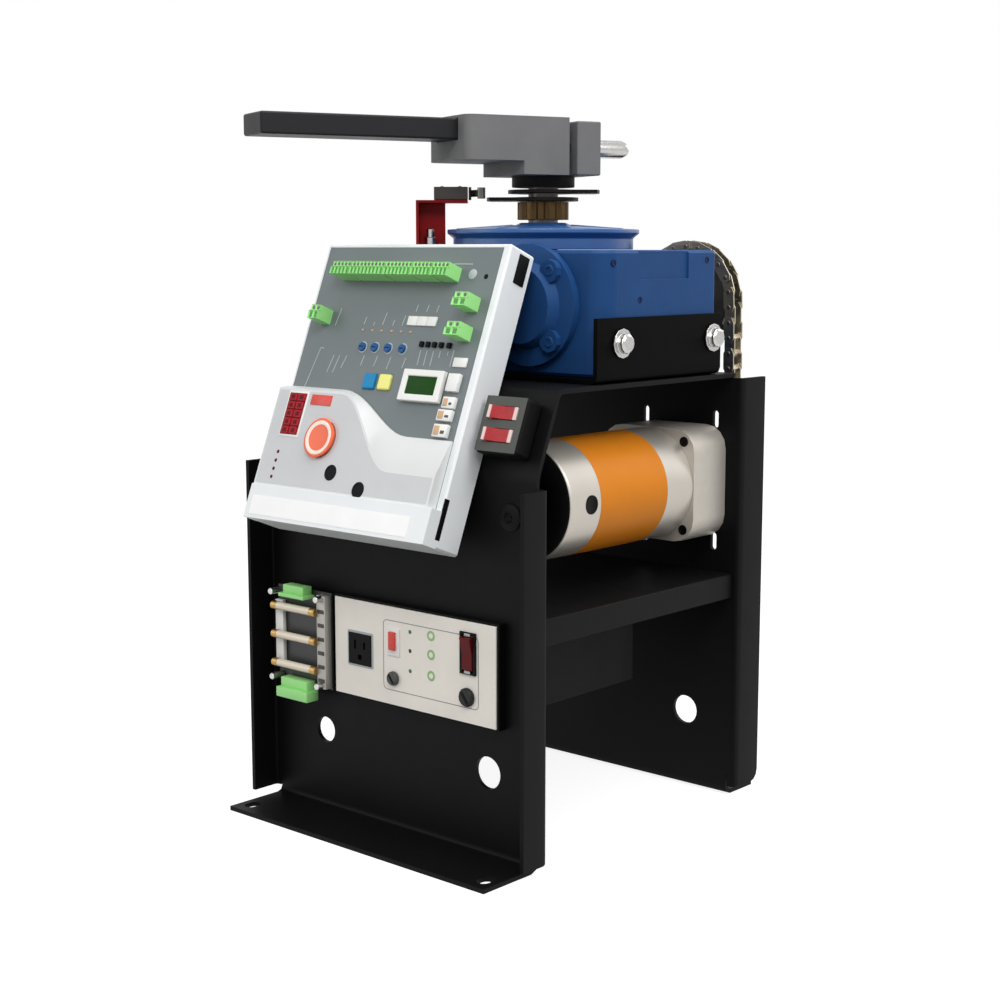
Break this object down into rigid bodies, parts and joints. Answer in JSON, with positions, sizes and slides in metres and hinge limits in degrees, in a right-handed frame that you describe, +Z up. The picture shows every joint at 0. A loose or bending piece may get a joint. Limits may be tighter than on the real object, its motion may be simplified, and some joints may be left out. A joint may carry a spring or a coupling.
{
  "type": "gate drive",
  "caption": "Swing-gate drive: motor, roller chain and worm gearbox with a clamped arm, on a bent steel chassis with a control box and a power panel.",
  "frame": {"origin": "centre of the front foot's underside, on the floor", "axes": "+Z up, +Y from the front foot to the back panel, +X to the right as seen from the front"},
  "size_m": [0.372, 0.4755, 0.6926],
  "materials": {
    "black_steel": "satin black powder coat",
    "blue_paint": "blue enamel on cast iron",
    "grey_cast": "dark grey casting",
    "bright_steel": "zinc plated",
    "dark_steel": "oiled steel",
    "bronze": "machined bronze",
    "red_steel": "red paint",
    "motor_steel": "bare steel can",
    "bell_metal": "die casting",
    "silver_plastic": "silver grey",
    "face_grey": "grey",
    "pale_panel": "pale warm grey",
    "black_plastic": "black",
    "terminal_green": "green",
    "stop_orange": "orange",
    "key_blue": "blue",
    "key_yellow": "yellow",
    "rocker_red": "red, clear",
    "white_plastic": "white",
    "ceramic": "glazed ceramic"
  },
  "bodies": {
    "chassis": {"front_panel": "black_steel", "back_panel": "black_steel", "shelf": "black_steel", "gearbox_cradle": "black_steel", "power_box": "black_steel", "gearbox_housing": "blue_paint", "gearbox_top_cover": "blue_paint", "worm_front_cover": "blue_paint", "cradle_bolt_1": "bright_steel", "cradle_bolt_2": "bright_steel", "cradle_bolt_3": "bright_steel", "cradle_bolt_4": "bright_steel", "worm_bearing_front": "bright_steel", "worm_bearing_rear": "bright_steel", "output_bearing_lower": "bright_steel", "output_bearing_upper": "bright_steel", "drive_chain": "bright_steel", "limit_bracket": "red_steel", "motor_can": "motor_steel", "motor_end_bell": "bell_metal", "control_housing": "silver_plastic", "control_cover": "silver_plastic", "control_faceplate": "face_grey", "power_panel": "pale_panel", "limit_switch": "black_plastic", "rocker_box": "black_plastic", "outlet": "black_plastic", "power_switch_body": "black_plastic", "fuse_holder_left": "black_plastic", "fuse_holder_right": "black_plastic", "surge_board": "black_plastic", "terminal_row": "terminal_green", "terminal_right_upper": "terminal_green", "terminal_right_lower": "terminal_green", "surge_plug_top": "terminal_green", "surge_plug_bottom": "terminal_green", "lcd_module": "white_plastic", "surge_fuse_1": "ceramic", "surge_fuse_2": "ceramic", "surge_fuse_3": "ceramic"},
    "output": {"output_shaft": "dark_steel", "worm_wheel": "bronze", "cam_hub": "bronze", "limit_cam_lower": "bright_steel", "limit_cam_upper": "black_steel", "arm_clamp": "grey_cast", "clamp_cap": "grey_cast", "arm_bar": "black_steel"},
    "worm": {"worm_shaft": "bright_steel", "input_sprocket": "dark_steel"},
    "motor_rotor": {"motor_armature": "dark_steel", "motor_sprocket": "dark_steel"},
    "handle": {"clamp_handle": "bright_steel"},
    "stop": {"stop_button": "stop_orange"},
    "blue_key": {"blue_button": "key_blue"},
    "yellow_key": {"yellow_button": "key_yellow"},
    "upper_rocker": {"rocker_upper": "rocker_red"},
    "lower_rocker": {"rocker_lower": "rocker_red"},
    "mains_rocker": {"power_rocker": "rocker_red"},
    "lever": {"limit_lever": "bright_steel"}
  },
  "joints": [
    {"name": "output_turn", "type": "hinge", "parent": "chassis", "child": "output", "pos_m": [0.014, 0.232, 0.512], "axis": [0, 0, 1], "range_deg": [-15, 95], "deforming": ["drive_chain"]},
    {"name": "worm_turn", "type": "hinge", "parent": "chassis", "child": "worm", "pos_m": [0.08, 0.232, 0.512], "axis": [0, 1, 0], "continuous": true, "deforming": ["drive_chain"]},
    {"name": "motor_turn", "type": "hinge", "parent": "chassis", "child": "motor_rotor", "pos_m": [0.11, 0.232, 0.33002], "axis": [0, 1, 0], "continuous": true, "deforming": ["drive_chain"]},
    {"name": "clamp_turn", "type": "hinge", "parent": "output", "child": "handle", "pos_m": [0.03821, 0.22251, 0.664], "axis": [-0.3649, -0.9311, 0], "range_deg": [0, 180]},
    {"name": "stop_press", "type": "slide", "parent": "chassis", "child": "stop", "axis": [0, 0.9293, -0.3693], "range_m": [0, 0.003], "stiffness_N_per_m": 400},
    {"name": "blue_press", "type": "slide", "parent": "chassis", "child": "blue_key", "axis": [0, 0.9293, -0.3693], "range_m": [0, 0.002], "stiffness_N_per_m": 500},
    {"name": "yellow_press", "type": "slide", "parent": "chassis", "child": "yellow_key", "axis": [0, 0.9293, -0.3693], "range_m": [0, 0.002], "stiffness_N_per_m": 500},
    {"name": "upper_rock", "type": "hinge", "parent": "chassis", "child": "upper_rocker", "pos_m": [0.137, 0.03367, 0.42002], "axis": [0, 0.3693, 0.9293], "range_deg": [-14, 0]},
    {"name": "lower_rock", "type": "hinge", "parent": "chassis", "child": "lower_rocker", "pos_m": [0.137, 0.02591, 0.40051], "axis": [0, 0.3693, 0.9293], "range_deg": [-14, 0]},
    {"name": "mains_rock", "type": "hinge", "parent": "chassis", "child": "mains_rocker", "pos_m": [0.1037, 0.0207, 0.197], "axis": [1, 0, 0], "range_deg": [-14, 0]},
    {"name": "lever_swing", "type": "hinge", "parent": "chassis", "child": "lever", "pos_m": [-0.04517, 0.18732, 0.6203], "axis": [0, 0, 1], "range_deg": [-20, 0], "stiffness_Nm_per_rad": 0.02, "springref_deg": 5.73}
  ],
  "couplings": [
    {"joint": "worm_turn", "follows": "output_turn", "ratio": -30},
    {"joint": "motor_turn", "follows": "output_turn", "ratio": -60}
  ]
}
